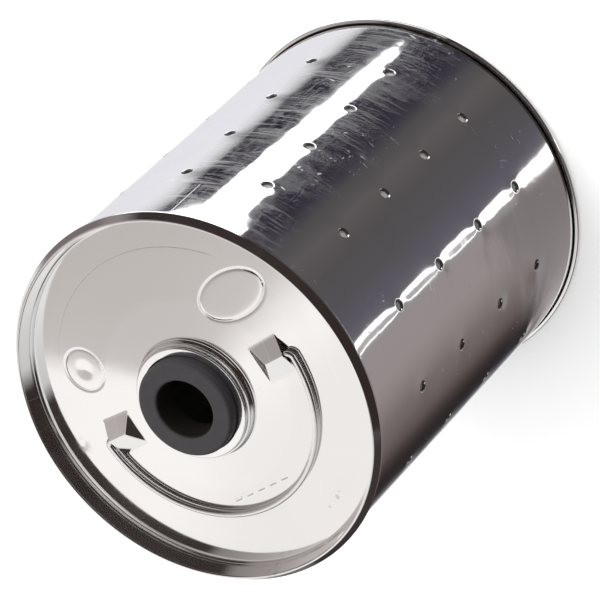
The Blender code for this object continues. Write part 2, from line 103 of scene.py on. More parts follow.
class Nodes:
    """Expression builder for one shader node tree."""

    def __init__(self, tree):
        self.tree = tree

    def put(self, socket, value):
        """Link a signal to an input, or set the input, widening a number or an RGB."""
        if isinstance(value, Signal):
            self.tree.links.new(value.socket, socket)
            return
        if hasattr(socket.default_value, "__len__"):
            size = len(socket.default_value)
            if not hasattr(value, "__len__"):
                value = (value,) * size
            elif len(value) == 3 and size == 4:
                value = tuple(value) + (1.0,)
        socket.default_value = value

    def fill(self, node, inputs):
        for key, value in inputs.items():
            self.put(node.inputs[key], value)

    def node(self, kind, inputs=None, output=0, **settings):
        """Add a node and return one of its outputs."""
        node = self.tree.nodes.new(kind)
        for key, value in settings.items():
            setattr(node, key, value)
        self.fill(node, inputs or {})
        return Signal(self, node.outputs[output])

    def surface(self, inputs):
        """Set inputs of the material's Principled shader."""
        self.fill(self.tree.nodes["Principled BSDF"], inputs)

    def math(self, operation, *values):
        return self.node("ShaderNodeMath", dict(enumerate(values)), operation=operation)

    def max(self, first, second):
        return self.math("MAXIMUM", first, second)

    def vector(self, operation, *values):
        output = "Value" if operation in ("LENGTH", "DOT_PRODUCT") else 0
        return self.node("ShaderNodeVectorMath", dict(enumerate(values)), output,
                         operation=operation)

    def xyz(self, x, y, z):
        return self.node("ShaderNodeCombineXYZ", {0: x, 1: y, 2: z})

    def split(self, vector):
        node = self.tree.nodes.new("ShaderNodeSeparateXYZ")
        self.put(node.inputs[0], vector)
        return [Signal(self, output) for output in node.outputs]

    def axis_distance(self, x, y):
        return self.vector("LENGTH", self.xyz(x, y, 0.0))

    def step(self, value, start, end, below=0.0, above=1.0):
        """Smooth change from `below` at start to `above` at end."""
        return self.node("ShaderNodeMapRange", {
            "Value": value, "From Min": start, "From Max": end,
            "To Min": below, "To Max": above,
        }, clamp=True, interpolation_type="SMOOTHSTEP")

    def fall(self, value, start, end, above=0.0):
        """Smooth change from 1 at start to `above` at end."""
        return self.step(value, start, end, 1.0, above)

    def band(self, value, start, end, soft):
        """1 between start and end, with edges `soft` wide on either side."""
        def edge(at, ramp):
            return ramp(value, self.math("SUBTRACT", at, soft), self.math("ADD", at, soft))

        return edge(start, self.step) * edge(end, self.fall)

    def noise(self, vector, scale=1.0, detail=2.0, roughness=0.5, distortion=0.0):
        return self.node("ShaderNodeTexNoise", {
            "Vector": vector, "Scale": scale, "Detail": detail,
            "Roughness": roughness, "Distortion": distortion,
        })

    def cell_distance(self, vector, scale):
        return self.node("ShaderNodeTexVoronoi", {"Vector": vector, "Scale": scale})

    def mix(self, factor, first, second):
        """Colour mix."""
        return self.node("ShaderNodeMix", {"Factor": factor, 6: first, 7: second},
                         output=2, data_type="RGBA")

    def blend(self, factor, first, second):
        """Number mix."""
        return self.node("ShaderNodeMix", {0: factor, 2: first, 3: second},
                         data_type="FLOAT")

    def ramp(self, factor, stops):
        """Colour ramp through (position, rgb) stops, at most 32 of them."""
        node = self.tree.nodes.new("ShaderNodeValToRGB")
        elements = node.color_ramp.elements
        elements.remove(elements[-1])
        elements[0].position = stops[0][0]
        elements[0].color = (*stops[0][1], 1.0)
        for position, rgb in stops[1:]:
            elements.new(position).color = (*rgb, 1.0)
        self.put(node.inputs[0], factor)
        return Signal(self, node.outputs[0])

    def bump(self, height, strength, distance):
        """Bumped normal; distance is in metres."""
        return self.node("ShaderNodeBump", {
            "Height": height, "Strength": strength, "Distance": distance,
        })


def swing(noise, amount):
    """Noise centred on zero and scaled."""
    return (noise - 0.5) * amount


def new_material(name):
    """Material, its node builder and the object coordinate in metres."""
    material = bpy.data.materials.new(name)
    material.use_nodes = True
    nodes = Nodes(material.node_tree)
    return material, nodes, nodes.node("ShaderNodeTexCoord", output="Object")


def new_mm_material(name):
    """Material, its node builder and the object coordinate in millimetres."""
    material, nodes, metres = new_material(name)
    point = nodes.node("ShaderNodeVectorMath", {0: metres, "Scale": 1000.0},
                       operation="SCALE")
    return material, nodes, point


# ============================================================== mesh helpers
def make_mesh(name, points, faces, material, normals=None, sharp_angle=None):
    """Mesh from millimetre points, with exact vertex normals or a sharp-edge angle."""
    mesh = bpy.data.meshes.new(name)
    points = np.asarray(points, float)
    if normals is not None:
        # turn every face over if a sample face disagrees with its normal
        normals = np.asarray(normals, float)
        sample = faces[len(faces) // 3]
        first, second, third = (points[index] for index in sample[:3])
        if np.dot(np.cross(second - first, third - second), normals[sample[1]]) < 0:
            faces = [tuple(face[::-1]) for face in faces]
    mesh.from_pydata((points * MM).tolist(), [], faces)
    mesh.validate(clean_customdata=False)
    mesh.shade_smooth()
    if normals is not None:
        mesh.normals_split_custom_set_from_vertices(normals.tolist())
    else:
        mesh.set_sharp_from_angle(angle=math.radians(sharp_angle))
    mesh.materials.append(material)
    return link_object(name, mesh)


def link_object(name, data):
    obj = bpy.data.objects.new(name, data)
    bpy.context.scene.collection.objects.link(obj)
    return obj


def install(obj, mover, node=None):
    """Hand a piece to the frame: what it moves with and what it replaces."""
    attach(obj, mover)
    if node is not None:
        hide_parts(node)


def bridge(first, second, wrap=True, flip=False, skip=None):
    """Quads between two equal rows of vertex numbers."""
    faces = []
    count = len(first)
    for k in range(count if wrap else count - 1):
        if skip is not None and skip[k]:
            continue
        k2 = (k + 1) % count
        if flip:
            faces.append((first[k], second[k], second[k2], first[k2]))
        else:
            faces.append((first[k], first[k2], second[k2], second[k]))
    return faces


def row_of(index, columns):
    return range(index * columns, (index + 1) * columns)


def grid_faces(rows, columns, wrap=True, flip=False, skip=None):
    faces = []
    for i in range(rows - 1):
        faces += bridge(row_of(i, columns), row_of(i + 1, columns), wrap, flip,
                        None if skip is None else skip[i])
    return faces


def left_of(direction):
    return np.array((-direction[1], direction[0]))


def turned(vector, angle):
    c, s = math.cos(angle), math.sin(angle)
    return np.array((vector[0] * c - vector[1] * s, vector[0] * s + vector[1] * c))


def fillet(outline, arc_step, max_len):
    """Round the corners of an outline of (r, z, fillet radius) rows.

    Returns (r, z) points no more than max_len or arc_step degrees apart, and
    unit normals pointing to the left of travel. A radius too big for its
    corner is cut down to fit.
    """
    corners = [np.array(row[:2], float) for row in outline]
    points, normals = [], []

    def straight(start, end, heading, with_end):
        parts = max(1, int(math.ceil(np.linalg.norm(end - start) / max_len)))
        for j in range(parts + with_end):
            points.append(start + (end - start) * j / parts)
            normals.append(left_of(heading))

    start = corners[0]
    last = len(corners) - 1
    for i in range(1, last):
        corner = corners[i]
        before = corner - corners[i - 1]
        after = corners[i + 1] - corner
        after_len = np.linalg.norm(after)
        before = before / np.linalg.norm(before)
        after = after / after_len
        turn = math.atan2(before[0] * after[1] - before[1] * after[0],
                          float(np.dot(before, after)))
        half_tan = math.tan(abs(turn) / 2.0)
        # leave half of the next side for its own fillet, unless it is the last
        share = 0.5 if i < last - 1 else 1.0
        room = min(np.linalg.norm(corner - start), after_len * share) * 0.999
        setback = min(outline[i][2] * half_tan, room)
        radius = setback / half_tan
        arc_start = corner - before * setback
        straight(start, arc_start, before, with_end=0)
        centre = arc_start + left_of(before) * radius * (1.0 if turn > 0 else -1.0)
        parts = max(2, int(math.ceil(abs(math.degrees(turn)) / arc_step)),
                    int(math.ceil(abs(turn) * radius / max_len)))
        for j in range(parts + 1):
            angle = turn * j / parts
            points.append(centre + turned(arc_start - centre, angle))
            normals.append(left_of(turned(before, angle)))
        start = corner + after * setback
    heading = corners[-1] - corners[-2]
    straight(start, corners[-1], heading / np.linalg.norm(heading), with_end=1)
    return np.array(points), np.array(normals)


def revolve(name, profile, normals, datum, up, segments, material):
    """Turned surface with exact normals.

    profile rows are (r, z) with z measured from the datum height; up is 1, or
    -1 to turn the profile upside down.
    """
    angles = np.arange(segments) / segments * TAU
    c, s = np.cos(angles), np.sin(angles)

    def spin(radial, axial):
        radial = radial[:, None]
        axial = np.broadcast_to(axial[:, None], (len(profile), segments))
        return np.stack([radial * c, radial * s, axial], -1).reshape(-1, 3)

    return make_mesh(name, spin(profile[:, 0], datum + up * profile[:, 1]),
                     grid_faces(len(profile), segments, flip=up > 0), material,
                     normals=spin(normals[:, 0], up * normals[:, 1]))


# ================================================================= materials
def tin_ground(nodes, point, tint, roughness):
    """Colour and roughness of hazy tinned sheet."""
    haze = nodes.noise(point, scale=0.035, detail=4.0, roughness=0.6, distortion=0.4)
    haze = nodes.step(haze, 0.42, 0.72)
    fine = nodes.noise(point, scale=0.9, detail=3.0, roughness=0.6)
    hazy_roughness = roughness + haze * 0.05 + swing(fine, 0.03)
    hazy_tint = (tint[0] * 0.93, tint[1] * 0.925, tint[2] * 0.915)
    return nodes.mix(haze * 0.35, tint, hazy_tint), hazy_roughness


def jacket_scratches(nodes, around, z, az_deg):
    """Handling scratches on the wall, as (all marks, nicks only).

    around is the distance round the can and z the height, both in mm. Factors
    on them are noise frequencies per mm, so the small one is the long way of a
    mark. seed picks a slice through the noise.
    """
    def sheet(around_freq, z_freq, seed):
        return nodes.xyz(around * around_freq, z * z_freq, seed)

    # worn bands of azimuth where the can is handled, the first with a wavy edge
    wave = nodes.noise(nodes.xyz(0.0, z * 0.06, 1.0))
    wear = nodes.band(az_deg + swing(wave, 16.0), 29.0, 68.0, soft=8.0)
    wear = nodes.max(wear, nodes.band(az_deg, -172.0, -128.0, soft=10.0) * 0.6)
    patch = nodes.noise(sheet(0.05, 0.085, seed=3.0), detail=3.0, roughness=0.6)

    def hairs(lines_at, half_width, runs_at, threshold):
        """Thin lines along the contours of stretched noise, broken into runs."""
        contour = nodes.noise(lines_at, detail=1.0)
        ridge = nodes.fall(nodes.math("ABSOLUTE", contour - 0.5),
                           half_width * 0.45, half_width)
        density = nodes.noise(runs_at, roughness=0.55)
        density = density + ((wear - 1.0) * 0.26 + swing(patch, 0.35))
        return ridge * nodes.step(density, threshold, threshold + 0.10)

    round_hairs = hairs(nodes.xyz(around * 0.020 + z * 0.010, z * 1.05, 0.0),
                        half_width=0.060, threshold=0.40,
                        runs_at=sheet(0.11, 0.9, seed=31.0))
    finer_round_hairs = hairs(nodes.xyz(around * 0.028, z * 1.6 + around * 0.05, 9.0),
                              half_width=0.070, threshold=0.46,
                              runs_at=sheet(0.15, 1.2, seed=37.0))
    upright_hairs = hairs(nodes.xyz(around * 1.55, z * 0.030 + around * 0.02, 14.0),
                          half_width=0.075, threshold=0.45,
                          runs_at=sheet(0.9, 0.16, seed=41.0))
    slanting_hairs = hairs(nodes.xyz(around * 0.30 + z * 0.05,
                                     z * 0.42 - around * 0.22, 23.0),
                           half_width=0.022, threshold=0.56,
                           runs_at=sheet(0.3, 0.3, seed=47.0))
    grit = nodes.noise(sheet(1.9, 1.9, seed=2.0), roughness=0.6)
    grit = nodes.step(grit + (wear - 1.0) * 0.06, 0.62, 0.70) * 0.5
    marks = nodes.max(nodes.max(round_hairs, finer_round_hairs * 0.75),
                      nodes.max(upright_hairs * 0.6, grit))
    marks = nodes.max(marks, slanting_hairs)

    def short_nicks(at, scale):
        return nodes.step(nodes.noise(at, scale=scale, detail=1.0), 0.735, 0.765)

    nicks_a = short_nicks(nodes.xyz(around * 0.35 + z * 0.9,
                                    z * 0.25 - around * 0.06, 1.0), scale=1.35)
    nicks_b = short_nicks(nodes.xyz(around * 1.1 - z * 0.7,
                                    z * 0.22 + around * 0.30, 6.0), scale=0.9)
    specks = nodes.fall(nodes.cell_distance(nodes.xyz(around, z, 0.0), scale=0.42),
                        0.035, 0.075)
    keep = nodes.step(nodes.noise(nodes.xyz(around, z, 5.0), scale=0.05), 0.44, 0.60)
    nicks = (nodes.max(nodes.max(nicks_a, nicks_b), specks)
             * (keep * nodes.step(wear, 0.0, 1.0, below=0.55)))
    # one long straight scratch down from the shoulder
    long_scratch = (nodes.band(az_deg + z * 0.004, 60.84, 61.00, soft=0.06)
                    * nodes.band(z, 95.0, 112.0, soft=1.0))
    nicks = nodes.max(nicks, long_scratch)
    return nodes.max(marks, nicks), nicks


def jacket_tin(name):
    """Bright tinned wall, scratched, faintly wavy, rough inside the holes, with painted shade on
    the hole lips.
    """
    material, nodes, point = new_mm_material(name)
    x, y, z = nodes.split(point)
    radius = nodes.axis_distance(x, y)
    azimuth = nodes.math("ARCTAN2", y, x)
    around = azimuth * CAN_R
    colour, roughness = tin_ground(nodes, point, tint=(0.90, 0.90, 0.915),
                                   roughness=0.055)
    marks, nicks = jacket_scratches(nodes, around, z, azimuth * DEG)
    # shallow waviness of the rolled sheet, long waves and shorter ones
    waves = nodes.noise(nodes.xyz(around * 0.030, z * 0.050, 0.0))
    ripples = nodes.noise(nodes.xyz(around * 0.10, z * 0.15, 2.0))
    # painted shade: the turned-in lip of each hole is painted near black and made rough,
    # standing in for the shade inside the holes
    hole_lip_shade = nodes.fall(radius, 46.94, 47.12) * nodes.band(z, 15.0, 98.0, soft=2.0)
    nodes.surface({
        "Base Color": nodes.mix(hole_lip_shade * 0.86, colour, (0.05, 0.048, 0.045)),
        "Metallic": 1.0,
        "Roughness": nodes.blend(hole_lip_shade, nodes.blend(nicks, roughness, 0.5), 0.45),
        "Normal": nodes.bump(waves + ripples * 0.22, strength=1.0, distance=0.00009),
        "Coat Weight": marks,
        "Coat Roughness": 0.42,
        "Coat IOR": 2.7,
    })
    return material


# Dull spots on the handle-end panel: x, y, radius.
CAP_SPOTS = ((16.9, -36.2, 0.55), (13.4, -37.4, 0.35), (18.3, -35.0, 0.25))


def cap_tin(name):
    """Tinned handle-end cap with scratches, a dark arc and a few dull spots."""
    material, nodes, point = new_mm_material(name)
    x, y, z = nodes.split(point)
    radius = nodes.axis_distance(x, y)
    azimuth = nodes.math("ARCTAN2", y, x)
    colour, roughness = tin_ground(nodes, point, tint=(0.91, 0.91, 0.905),
                                   roughness=0.075)

    # two sets of short scratches; the factors stretch the noise
    def scratches(at, scale):
        return nodes.step(nodes.noise(at, scale=scale, roughness=0.55), 0.72, 0.76)

    set_a = scratches(nodes.xyz(x * 0.8 + y * 0.35, y * 0.14 - x * 0.05, 1.0), scale=1.2)
    set_b = scratches(nodes.xyz(x * 0.2 - y * 0.7, y * 0.1 + x * 0.12, 9.0), scale=1.0)
    marks = nodes.max(set_a, set_b) * 0.35
    waves = nodes.noise(point, scale=0.05) * nodes.fall(radius, 40.0, 44.5, above=0.2)

    # thin broken arc of rubbed metal, weaker past 62 degrees
    az_deg = azimuth * DEG
    wander = nodes.noise(nodes.xyz(azimuth * 3.0, 0.0, 2.0))
    arc = nodes.band(radius + swing(wander, 0.25), 37.87, 38.09, soft=0.09)
    breaks = nodes.noise(nodes.xyz(azimuth * 22.0, 0.0, 2.0), detail=3.0, roughness=0.6)
    breaks = nodes.step(breaks, 0.30, 0.60, below=0.55)
    arc = arc * nodes.band(az_deg, 47.0, 143.0, soft=3.0) * breaks
    arc = arc * nodes.fall(az_deg, 62.0, 92.0, above=0.55)

    # scattered specks, then the placed spots with ragged edges
    specks = nodes.cell_distance(nodes.xyz(x, y, 0.0), scale=0.045)
    spots = (nodes.fall(specks, 0.05, 0.13)
             * nodes.step(nodes.noise(point, scale=0.4), 0.45, 0.6))
    ragged = swing(nodes.noise(point, scale=1.6, detail=3.0), 1.3)
    for spot_x, spot_y, spot_r in CAP_SPOTS:
        distance = nodes.axis_distance(x - spot_x, y - spot_y) + ragged
        spots = nodes.max(spots, nodes.fall(distance, spot_r * 0.7, spot_r * 1.3))
    dark = nodes.max(arc * 0.80, spots * 0.35)

    nodes.surface({
        "Base Color": nodes.mix(dark, colour, (0.30, 0.28, 0.25)),
        "Metallic": 1.0,
        "Roughness": nodes.blend(dark, nodes.blend(marks, roughness, 0.35), 0.4),
        "Normal": nodes.bump(waves, strength=1.0, distance=0.00005),
    })
    return material


def base_tin(name):
    """Plain tinned sheet of the base-end cap."""
    material, nodes, point = new_mm_material(name)
    colour, roughness = tin_ground(nodes, point, tint=(0.90, 0.90, 0.90), roughness=0.08)
    nodes.surface({
        "Base Color": colour,
        "Metallic": 1.0,
        "Roughness": roughness,
        "Normal": nodes.bump(nodes.noise(point, scale=0.06), strength=1.0,
                             distance=0.00006),
    })
    return material


def rubber(name):
    """Dusty black rubber, free of dust near the bore, with painted shade that darkens the bore.
    """
    material, nodes, point = new_mm_material(name)
    x, y, z = nodes.split(point)
    mottle = nodes.noise(point, scale=0.25, detail=4.0, roughness=0.65)
    grain = nodes.noise(point, scale=5.0, roughness=0.6)
    dust = nodes.noise(point, scale=1.4, detail=5.0, roughness=0.7)
    dust = nodes.step(dust, 0.55, 0.75)
    colour = nodes.mix(mottle, (0.031, 0.028, 0.031), (0.049, 0.045, 0.049))
    radius = nodes.axis_distance(x, y)
    # painted shade: the bore wall and the inner edge of the face are painted near black
    colour = nodes.mix(nodes.step(radius, 7.28, 7.75), (0.012, 0.011, 0.009), colour)
    dusting = dust * nodes.step(radius, 7.4, 8.2, above=0.22)
    lumps = nodes.noise(point, scale=1.2, detail=3.0)
    nodes.surface({
        "Base Color": nodes.mix(dusting, colour, (0.15, 0.14, 0.14)),
        "Roughness": 0.47 + mottle_scaled(mottle, 0.16),
        "Specular IOR Level": 0.35,
        "Normal": nodes.bump(grain * 0.4 + lumps * 0.6, strength=0.5, distance=0.00006),
    })
    return material


def mottle_scaled(noise, amount):
    """Share of a noise added to a roughness."""
    return noise * amount


def drawn_wire(name):
    """Bright wire with drawing marks that run along it."""
    material, nodes, point = new_mm_material(name)
    x, y, z = nodes.split(point)
    azimuth = nodes.math("ARCTAN2", y, x)
    marks = nodes.noise(nodes.xyz(azimuth * 3.0, nodes.axis_distance(x, y), z),
                        scale=3.0, detail=3.0, roughness=0.6)
    mottle = nodes.noise(point, scale=0.6, detail=3.0)
    nodes.surface({
        "Base Color": nodes.mix(mottle, (0.80, 0.80, 0.80), (0.88, 0.88, 0.87)),
        "Metallic": 1.0,
        "Roughness": 0.10 + marks * 0.12,
        "Normal": nodes.bump(marks, strength=0.25, distance=0.00004),
    })
    return material


def grained(name, dark, light, roughness, metallic=0.0, scale=0.8, bump=0.3,
            bump_distance=0.0001, stretch=(1, 1, 1)):
    """Two-tone finish with grain; stretch below 1 draws the grain out on that axis."""
    material, nodes, point = new_mm_material(name)
    point = nodes.vector("MULTIPLY", point, stretch)
    coarse = nodes.noise(point, scale=scale, detail=5.0, roughness=0.62)
    fine = nodes.noise(point, scale=scale * 5.0, detail=3.0, roughness=0.6)
    nodes.surface({
        "Base Color": nodes.mix(nodes.step(coarse, 0.3, 0.7), dark, light),
        "Metallic": metallic,
        "Roughness": roughness - 0.08 + coarse * 0.16,
        "Normal": nodes.bump(coarse * 0.5 + fine * 0.5, strength=bump,
                             distance=bump_distance),
    })
    return material


JACKET_TIN = jacket_tin("fin_jacket")
CAP_TIN = cap_tin("fin_handle_cap")
BASE_TIN = base_tin("fin_base_cap")
RUBBER = rubber("fin_grommet")
WIRE = drawn_wire("fin_wire")

# ============================================================= handle-end cap
# Outlines: r, z over the bead mid-plane, fillet radius.
PANEL_TO_WALL = [
    (25.0, -1.65, 40.0), (37.8, -2.74, 12.0), (44.90, -3.35, 0.09), (45.20, -2.66, 0.20),
    (45.56, -2.28, 0.22),
]
BEAD_OUTER = [(48.17, -0.12, 0.60), (48.20, -0.94, 0.30), (47.42, -0.94, 0.0)]
HANDLE_CREST = [(46.24, 1.30, 0.14), (46.48, 1.62, 0.16), (46.84, 1.58, 0.20)]
BASE_CREST = [(46.14, 0.86, 0.14), (46.42, 1.20, 0.16), (46.86, 1.18, 0.20)]
HANDLE_NECK = [
    (12.55, 1.75, 0.0), (12.55, 2.10, 0.14), (14.42, 2.10, 0.38),
    (14.52, 0.95, 0.16), (15.00, 0.72, 0.22), (15.16, -1.10, 0.75),
]
BASE_NECK = [
    (12.55, -2.80, 0.0), (12.55, -2.50, 0.12), (13.9, -2.50, 0.35),
    (14.35, -2.15, 0.35), (15.2, -1.15, 0.6),
]
PANEL_R = (15.95, 42.6)                   # the rows of the cap that take relief
CAP_SEGMENTS = 1040

# Two pockets rise from the panel on the +X and -X sides and open outwards.
POCKET_IN = 20.8                          # foot of the ramp nearest the axis
POCKET_OPEN_R = 29.35                     # radius of the open mouth
POCKET_RISE = 2.22                        # height over the panel
POCKET_RAMP = 3.1                         # length of the ramp up to full height

LINING_IN = 21.6                          # lining, from here out to the mouth
LINING_HALF_WIDTH = 4.55
LINING_DROP = 0.31                        # lining below the outer skin

# Stamped marks.
MARK_OVAL = dict(reach=30.5, azimuth=35.0, half_x=9.3, half_y=5.7)
MARK_RING = dict(reach=30.7, azimuth=145.0, radius=5.4)
DASHES, DASH_PITCH, DASH_HALF, DASH_Y = 5, 3.8, 0.9, -26.4

# Shallow dents: centre x, centre y, spread in x, spread in y, depth.
DENTS = (
    (6.0, -37.0, 9.0, 5.0, 0.020),
    (-20.0, -30.0, 7.0, 6.0, 0.015),
    (27.0, -20.0, 8.0, 7.0, 0.012),
)

cap_profile, cap_normals = fillet(
    HANDLE_NECK + PANEL_TO_WALL + HANDLE_CREST + BEAD_OUTER, arc_step=11.0, max_len=0.24)


def panel_z(radius):
    """Height of the turned panel over the bead plane."""
    def nearest_row(r, z):
        return int(np.argmin(np.abs(cap_profile[:, 0] - r) + np.abs(cap_profile[:, 1] - z)))

    panel = cap_profile[nearest_row(15.6, -1.15):nearest_row(44.4, -3.31)]
    return np.interp(radius, panel[:, 0], panel[:, 1])


def pocket_height(x, y):
    """Height of the two pressed pockets over the panel."""
    reach, side = np.abs(x), np.abs(y)
    half_width = 4.45 + 0.35 * (reach - POCKET_IN) / 8.6
    ridge = POCKET_RISE + 0.10 * (reach - (POCKET_IN + POCKET_RAMP)) / 5.3
    ramp = POCKET_RISE * (reach - POCKET_IN) / POCKET_RAMP
    flanks = ridge - (ridge / half_width) * np.sqrt(side * side + 0.03)
    # smooth minimum of ramp and flanks, then a smooth cut at zero
    blend, foot = 0.10, 0.07
    height = -blend * np.logaddexp(-ramp / blend, -flanks / blend)
    return foot * np.logaddexp(0.0, height / foot)


def oval_distance(dx, dy, half_x, half_y):
    """Approximate signed distance to an ellipse outline, negative inside."""
    level = np.sqrt((dx / half_x) ** 2 + (dy / half_y) ** 2) + 1e-9
    slope_x, slope_y = dx / (half_x * half_x * level), dy / (half_y * half_y * level)
    return (level - 1.0) / np.sqrt(slope_x * slope_x + slope_y * slope_y)


def pressed(distance, depth, width):
    """Depth of a soft pressed line."""
    return depth * np.exp(-(distance / width) ** 2)


def stamps(x, y):
    """Pressed marks: an oval, a ring round a dimple, a row of dashes."""
    depth = np.zeros_like(x)

    def polar(mark):
        angle = math.radians(mark["azimuth"])
        return mark["reach"] * math.cos(angle), mark["reach"] * math.sin(angle)

    def window(centre, half_x, half_y):
        """Points near a mark, and their offsets from its centre."""
        near = (np.abs(x - centre[0]) < half_x) & (np.abs(y - centre[1]) < half_y)
        return near, x[near] - centre[0], y[near] - centre[1]

    near, dx, dy = window(polar(MARK_OVAL), 12, 8)
    distance = oval_distance(dx, dy, MARK_OVAL["half_x"], MARK_OVAL["half_y"])
    depth[near] += pressed(distance, depth=0.17, width=0.34)
    # the field inside the oval stands slightly proud
    depth[near] -= 0.06 * (1.0 - np.exp(-np.clip(-distance - 0.3, 0, None) / 0.4))

    near, dx, dy = window(polar(MARK_RING), 10, 9)
    distance = np.hypot(dx, dy)
    depth[near] += pressed(distance - MARK_RING["radius"], depth=0.15, width=0.30)
    depth[near] += pressed(distance, depth=0.20, width=1.5)

    near, dx, dy = window((0.0, DASH_Y), 12, 3.0)
    for i in range(DASHES):
        middle = DASH_PITCH * (i - (DASHES - 1) / 2)
        beyond_end = np.clip(np.abs(dx - middle) - DASH_HALF, 0, None)
        depth[near] += pressed(np.hypot(beyond_end, dy), depth=0.15, width=0.34)
    return depth


def relief(x, y):
    """Depth pressed into the panel: stamps, a faint ring groove and dents."""
    depth = stamps(x, y) + pressed(np.hypot(x, y) - 37.98, depth=0.004, width=0.26)
    for centre_x, centre_y, spread_x, spread_y, dent in DENTS:
        depth = depth + dent * np.exp(-(((x - centre_x) / spread_x) ** 2
                                        + ((y - centre_y) / spread_y) ** 2))
    return depth


def panel_height(x, y, pocketed):
    """Height added to the turned panel; relief fades out at both panel edges."""
    radius = np.hypot(x, y)
    fade = np.clip((42.0 - radius) / 2.0, 0, 1) * np.clip((radius - 16.2) / 1.2, 0, 1)
    return np.where(pocketed, pocket_height(x, y), 0.0) - relief(x, y) * fade


def build_handle_cap():
    angles = np.arange(CAP_SEGMENTS) / CAP_SEGMENTS * TAU
    c, s = np.cos(angles), np.sin(angles)
    level = np.ones(CAP_SEGMENTS)
    radius = cap_profile[:, 0]
    x, y, z = radius[:, None] * c, radius[:, None] * s, cap_profile[:, 1][:, None] * level
    nx, ny = cap_normals[:, 0][:, None] * c, cap_normals[:, 0][:, None] * s
    nz = cap_normals[:, 1][:, None] * level

    rows = np.where((radius > PANEL_R[0]) & (radius < PANEL_R[1]))[0]
    px, py = x[rows], y[rows]
    pocketed = (radius[rows] <= POCKET_OPEN_R)[:, None]
    z[rows] += panel_height(px, py, pocketed)

    # normals by central differences, added to the slope of the profile
    e = 0.06
    slope_x = (panel_height(px + e, py, pocketed)
               - panel_height(px - e, py, pocketed)) / (2 * e) - nx[rows] / nz[rows]
    slope_y = (panel_height(px, py + e, pocketed)
               - panel_height(px, py - e, pocketed)) / (2 * e) - ny[rows] / nz[rows]
    length = np.sqrt(slope_x * slope_x + slope_y * slope_y + 1.0)
    nx[rows], ny[rows], nz[rows] = -slope_x / length, -slope_y / length, 1.0 / length

    # mouth of each pocket: leave out the faces of the step
    skip = np.zeros((len(radius), CAP_SEGMENTS), bool)
    for i in rows[:-1]:
        if radius[i] <= POCKET_OPEN_R < radius[i + 1]:
            raised = pocket_height(x[i], y[i]) > 0.10
            skip[i] = raised | np.roll(raised, -1)
    return make_mesh("cap_handle_end_sheet",
                     np.stack([x, y, z + BEAD_TOP], -1).reshape(-1, 3),
                     grid_faces(len(radius), CAP_SEGMENTS, flip=True, skip=skip),
                     CAP_TIN, normals=np.stack([nx, ny, nz], -1).reshape(-1, 3))


def build_pocket_lining(name, side):
    """Inner skin and cut edge of a pocket, so that its mouth shows the sheet."""
    rows, columns = 16, 41
    reach, across = np.meshgrid(
        np.linspace(LINING_IN, POCKET_OPEN_R, rows),
        np.linspace(-LINING_HALF_WIDTH, LINING_HALF_WIDTH, columns), indexing="ij")
    radius = np.hypot(reach, across)
    skin = panel_z(radius) + pocket_height(reach, across) + BEAD_TOP
    # bend the rows so that the last follows the arc of the mouth
    progress = (reach - LINING_IN) / (POCKET_OPEN_R - LINING_IN)
    x = side * reach * (1.0 - (radius - reach) / radius * progress)
    y = side * across
    inner = np.stack([x, y, skin - LINING_DROP], -1).reshape(-1, 3)
    cut_edge = np.stack([x[-1], y[-1], skin[-1] - 0.005], -1)
    return make_mesh(name, np.concatenate([inner, cut_edge]),
                     grid_faces(rows + 1, columns, wrap=False), CAP_TIN, sharp_angle=40.0)


install(build_handle_cap(), "can", "handle_end_cap")
for lining_name, lining_side in (("cap_pocket_lining_a", 1.0), ("cap_pocket_lining_b", -1.0)):
    install(build_pocket_lining(lining_name, lining_side), "can")

# =============================================================== base-end cap
base_profile, base_normals = fillet(
    BASE_NECK + PANEL_TO_WALL + BASE_CREST + BEAD_OUTER, arc_step=9.0, max_len=3.0)
base_cap = revolve("cap_base_end_sheet", base_profile, base_normals, datum=BEAD_BASE,
                   up=-1.0, segments=224, material=BASE_TIN)
install(base_cap, "can", "base_end_cap")

# ============================================================== outer jacket
# The wall is a lattice of cells, one round each hole, plus plain rows at the ends.
CELL_W = TAU * CAN_R / HOLE_ROWS          # round the can
CELL_H = (HOLE_Z[-1] - HOLE_Z[0]) / (len(HOLE_Z) - 1)
CELL_DIVS = 10                            # divisions of each cell side
WALL_END = 0.80                           # wall ends this far inside the bead planes
# radii of the rings round a hole, then steps from the last ring to the cell edge
HOLE_RINGS = (HOLE_EDGE, 1.19, 1.25, 1.31, 1.38, 1.46, 1.56, 1.72, 2.0, 2.4, 2.9, 3.6,
              4.4, 5.4)
RING_TO_CELL = (0.42, 0.68, 0.86)
# heights of the plain rows, as shares of the way from the wall end to the cells
END_ROWS = np.array([0, 0.02, 0.05, 0.09, 0.14, 0.2, 0.28, 0.38, 0.5, 0.65, 0.82])


def hole_swell(rho):
    """Rise of the sheet near a hole: a faint swelling with a rolled-in edge."""
    swell = 0.125 * np.exp(-(rho / 3.0) ** 2)
    roll = -0.34 * np.exp(-(np.clip(rho - HOLE_EDGE, 0, None) / 0.20) ** 2)
    return swell + roll


def wall_radius(z):
    """Radius of the plain wall, which necks in a little by each bead."""
    below_top = BEAD_TOP - 0.9 - z
    above_base = z - (BEAD_BASE + 0.9)
    return (CAN_R - 0.16 * np.exp(-np.clip(below_top, 0, None) / 2.6)
            - 0.16 * np.exp(-np.clip(above_base, 0, None) / 2.6))


